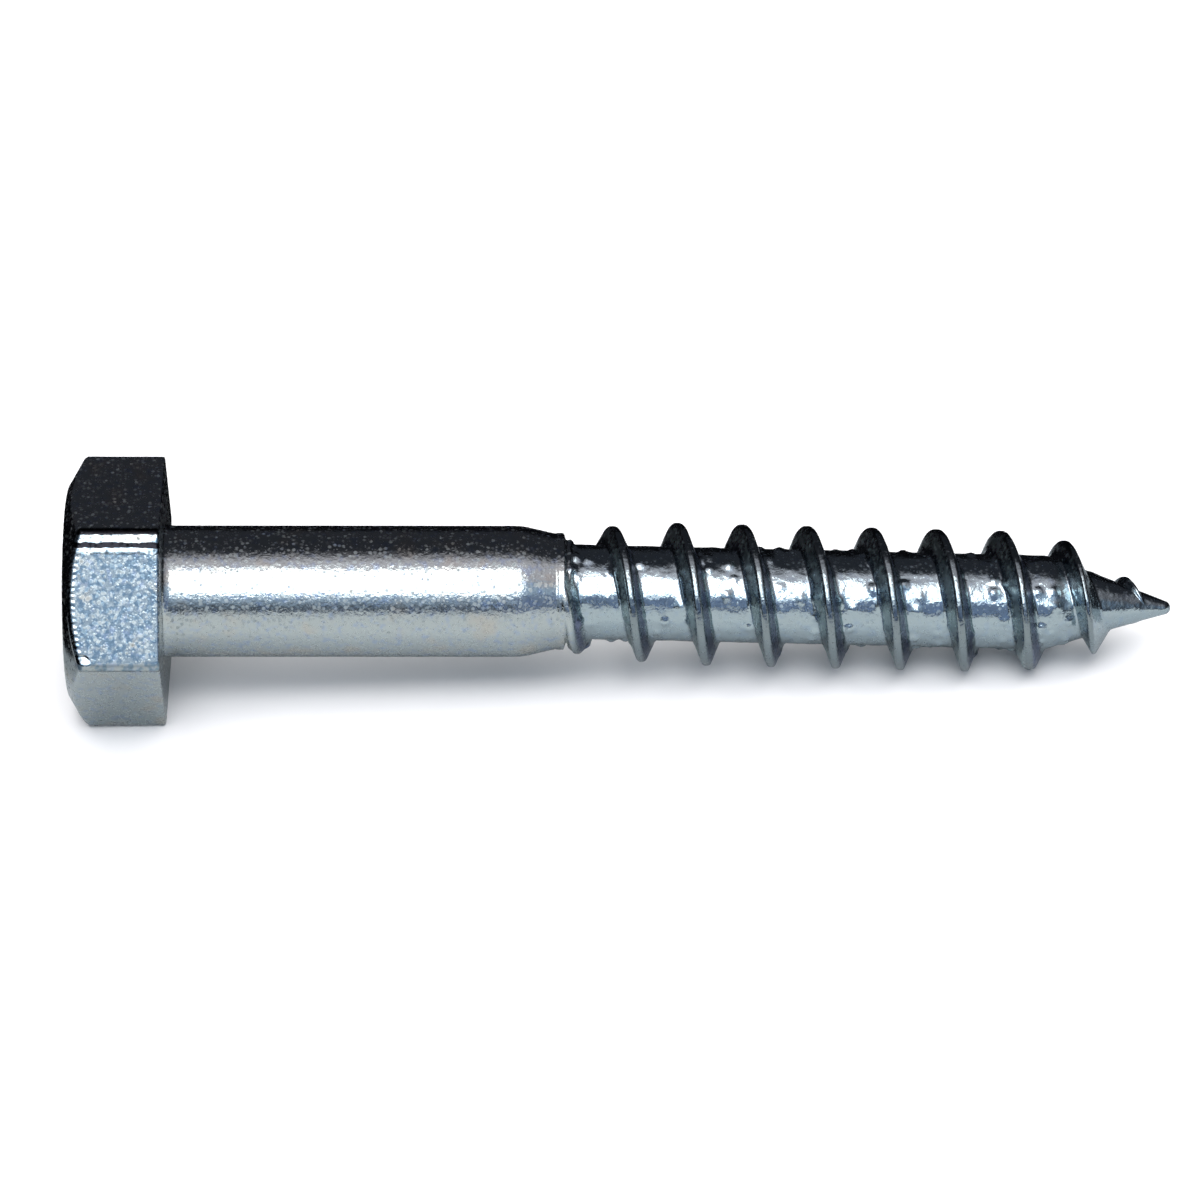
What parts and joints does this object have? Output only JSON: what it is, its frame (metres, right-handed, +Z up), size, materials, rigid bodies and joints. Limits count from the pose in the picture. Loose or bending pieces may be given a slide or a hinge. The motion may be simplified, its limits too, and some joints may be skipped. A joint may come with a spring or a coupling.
{
  "type": "lag screw",
  "caption": "Hexagon-head lag screw with a plain shank, a coarse right-hand wood thread and a pointed tip, lying on its side.",
  "frame": {"origin": "centre of the bearing face under the head, on the screw's axis", "axes": "+X runs from the head towards the tip, level, with the shank's axis dipping 2.3 degrees below it and the threaded part a further 1.6 degrees; +Z is up, square to the surface that the screw lies on"},
  "size_m": [0.0612, 0.0148, 0.0132],
  "materials": {
    "zinc_plated_steel": "bright zinc plating, mottled and slightly lumpy"
  },
  "bodies": {
    "root": {"lag_screw": "zinc_plated_steel"}
  },
  "joints": []
}
